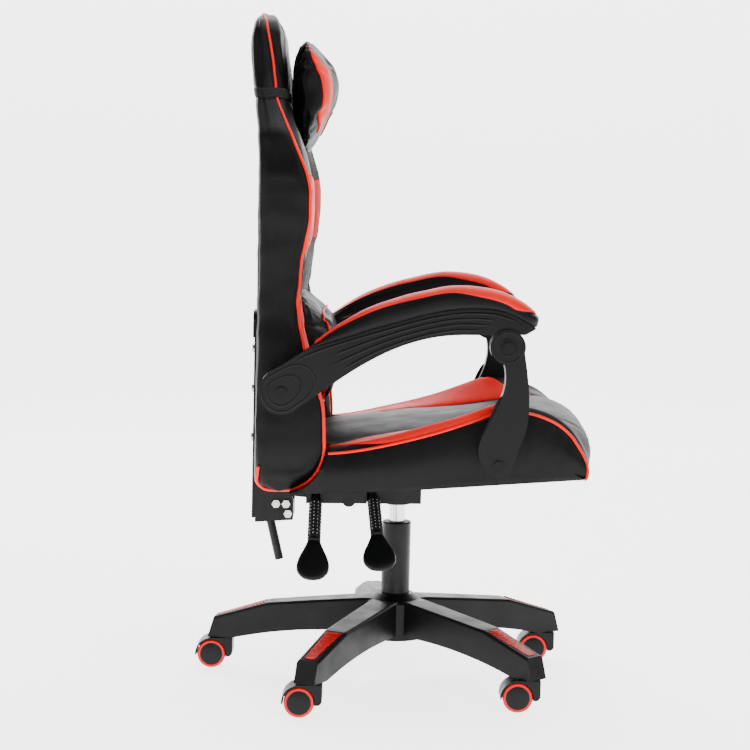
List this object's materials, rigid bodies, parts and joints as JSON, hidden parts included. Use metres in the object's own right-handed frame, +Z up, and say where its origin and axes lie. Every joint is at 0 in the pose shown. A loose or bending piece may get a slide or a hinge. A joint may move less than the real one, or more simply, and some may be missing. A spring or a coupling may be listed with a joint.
{
  "type": "gaming chair",
  "caption": "High-back racing-style swivel chair with bolstered seat and back, pillows, armrests linked to the recline, gas lift and a caster base.",
  "frame": {"origin": "on the floor, on the swivel axis of the column", "axes": "+X the way the sitter faces, +Y the sitter's left, +Z up"},
  "size_m": [0.6757, 0.6382, 1.1573],
  "materials": {
    "nylon_black": "moulded nylon, fine grain",
    "insert_red": "ribbed red inlay",
    "caster_black": "satin moulded",
    "tread_red": "smooth soft tread",
    "painted_steel": "satin black powder coat",
    "chrome": "polished",
    "bright_steel": "zinc plated",
    "pu_black": "soft grained artificial leather",
    "pu_red": "soft grained artificial leather",
    "strap_black": "elastic webbing",
    "braid_black": "braided sleeve with pale flecks",
    "handle_black": "satin moulded",
    "arm_plastic": "satin moulded, fine grain"
  },
  "bodies": {
    "base": {"star_base": "nylon_black", "star_inserts": "insert_red", "caster_stems": "bright_steel", "column_tube": "painted_steel", "column_bush": "nylon_black", "thrust_bearing": "bright_steel"},
    "piston": {"piston_rod": "chrome"},
    "seat": {"gas_cylinder": "chrome", "tilt_mechanism": "painted_steel", "mechanism_bolts": "bright_steel", "hinge_pin": "bright_steel", "seat_pan": "painted_steel", "seat_pad": "pu_black", "seat_bolsters": "pu_black", "support_pivot_bolts": "handle_black"},
    "valve": {"valve_button": "bright_steel"},
    "height_lever": {"height_lever_stem": "braid_black", "height_lever_paddle": "handle_black"},
    "recline_lever": {"recline_lever_stem": "braid_black", "recline_lever_paddle": "handle_black"},
    "backrest": {"back_bracket": "painted_steel", "back_bolts": "bright_steel", "back_bar": "painted_steel", "bar_cap": "handle_black", "tail_yoke": "painted_steel", "back_frame": "painted_steel", "back_pad": "pu_black", "back_wings": "pu_black", "head_pillow": "pu_black", "head_strap": "strap_black", "lumbar_pillow": "pu_black", "rear_pivot_bolts": "handle_black"},
    "arm_right": {"arm_carrier_right": "arm_plastic", "arm_pad_right": "pu_black", "front_pivot_bolt_right": "handle_black"},
    "support_right": {"arm_support_right": "arm_plastic"},
    "arm_left": {"arm_carrier_left": "arm_plastic", "arm_pad_left": "pu_black", "front_pivot_bolt_left": "handle_black"},
    "support_left": {"arm_support_left": "arm_plastic"},
    "caster_1": {"caster_hood_1": "caster_black", "caster_axle_1": "bright_steel"},
    "wheels_1": {"caster_wheels_1": "caster_black", "caster_treads_1": "tread_red"},
    "caster_2": {"caster_hood_2": "caster_black", "caster_axle_2": "bright_steel"},
    "wheels_2": {"caster_wheels_2": "caster_black", "caster_treads_2": "tread_red"},
    "caster_3": {"caster_hood_3": "caster_black", "caster_axle_3": "bright_steel"},
    "wheels_3": {"caster_wheels_3": "caster_black", "caster_treads_3": "tread_red"},
    "caster_4": {"caster_hood_4": "caster_black", "caster_axle_4": "bright_steel"},
    "wheels_4": {"caster_wheels_4": "caster_black", "caster_treads_4": "tread_red"},
    "caster_5": {"caster_hood_5": "caster_black", "caster_axle_5": "bright_steel"},
    "wheels_5": {"caster_wheels_5": "caster_black", "caster_treads_5": "tread_red"}
  },
  "joints": [
    {"name": "seat_swivel", "type": "hinge", "parent": "base", "child": "piston", "pos_m": [0, 0, 0.2], "axis": [0, 0, 1], "continuous": true},
    {"name": "seat_lift", "type": "slide", "parent": "piston", "child": "seat", "axis": [0, 0, 1], "range_m": [0, 0.08]},
    {"name": "recline", "type": "hinge", "parent": "seat", "child": "backrest", "pos_m": [-0.204, 0, 0.337], "axis": [0, -1, 0], "range_deg": [0, 20]},
    {"name": "height_lever_pull", "type": "hinge", "parent": "seat", "child": "height_lever", "pos_m": [-0.0455, -0.045, 0.352], "axis": [-1, 0, 0], "range_deg": [0, 5], "stiffness_Nm_per_rad": 8},
    {"name": "recline_lever_pull", "type": "hinge", "parent": "seat", "child": "recline_lever", "pos_m": [-0.141, -0.045, 0.352], "axis": [-1, 0, 0], "range_deg": [0, 5], "stiffness_Nm_per_rad": 8},
    {"name": "valve_press", "type": "slide", "parent": "seat", "child": "valve", "axis": [0, 0, -1], "range_m": [0, 0.004]},
    {"name": "arm_swing_right", "type": "hinge", "parent": "backrest", "child": "arm_right", "pos_m": [-0.194, -0.269, 0.529], "axis": [0, -1, 0], "range_deg": [-20, 0]},
    {"name": "support_swing_right", "type": "hinge", "parent": "seat", "child": "support_right", "pos_m": [0.158, -0.269, 0.41752], "axis": [0, -1, 0], "range_deg": [0, 20]},
    {"name": "arm_swing_left", "type": "hinge", "parent": "backrest", "child": "arm_left", "pos_m": [-0.194, 0.269, 0.529], "axis": [0, -1, 0], "range_deg": [-20, 0]},
    {"name": "support_swing_left", "type": "hinge", "parent": "seat", "child": "support_left", "pos_m": [0.158, 0.269, 0.41752], "axis": [0, -1, 0], "range_deg": [0, 20]},
    {"name": "caster_swivel_1", "type": "hinge", "parent": "base", "child": "caster_1", "pos_m": [0.27472, 0.14362, 0.054], "axis": [0, 0, 1], "continuous": true},
    {"name": "wheel_spin_1", "type": "hinge", "parent": "caster_1", "child": "wheels_1", "pos_m": [0.25672, 0.14362, 0.025], "axis": [0, 1, 0], "continuous": true},
    {"name": "caster_swivel_2", "type": "hinge", "parent": "base", "child": "caster_2", "pos_m": [-0.0517, 0.30566, 0.054], "axis": [0, 0, 1], "continuous": true},
    {"name": "wheel_spin_2", "type": "hinge", "parent": "caster_2", "child": "wheels_2", "pos_m": [-0.0697, 0.30566, 0.025], "axis": [0, 1, 0], "continuous": true},
    {"name": "caster_swivel_3", "type": "hinge", "parent": "base", "child": "caster_3", "pos_m": [-0.30667, 0.04529, 0.054], "axis": [0, 0, 1], "continuous": true},
    {"name": "wheel_spin_3", "type": "hinge", "parent": "caster_3", "child": "wheels_3", "pos_m": [-0.32467, 0.04529, 0.025], "axis": [0, 1, 0], "continuous": true},
    {"name": "caster_swivel_4", "type": "hinge", "parent": "base", "child": "caster_4", "pos_m": [-0.13784, -0.27767, 0.054], "axis": [0, 0, 1], "continuous": true},
    {"name": "wheel_spin_4", "type": "hinge", "parent": "caster_4", "child": "wheels_4", "pos_m": [-0.15584, -0.27767, 0.025], "axis": [0, 1, 0], "continuous": true},
    {"name": "caster_swivel_5", "type": "hinge", "parent": "base", "child": "caster_5", "pos_m": [0.22149, -0.2169, 0.054], "axis": [0, 0, 1], "continuous": true},
    {"name": "wheel_spin_5", "type": "hinge", "parent": "caster_5", "child": "wheels_5", "pos_m": [0.20349, -0.2169, 0.025], "axis": [0, 1, 0], "continuous": true}
  ],
  "couplings": [
    {"joint": "valve_press", "follows": "height_lever_pull", "m_per_rad": 0.045},
    {"joint": "arm_swing_right", "follows": "recline", "ratio": -1},
    {"joint": "support_swing_right", "follows": "recline", "ratio": 1},
    {"joint": "arm_swing_left", "follows": "recline", "ratio": -1},
    {"joint": "support_swing_left", "follows": "recline", "ratio": 1}
  ]
}
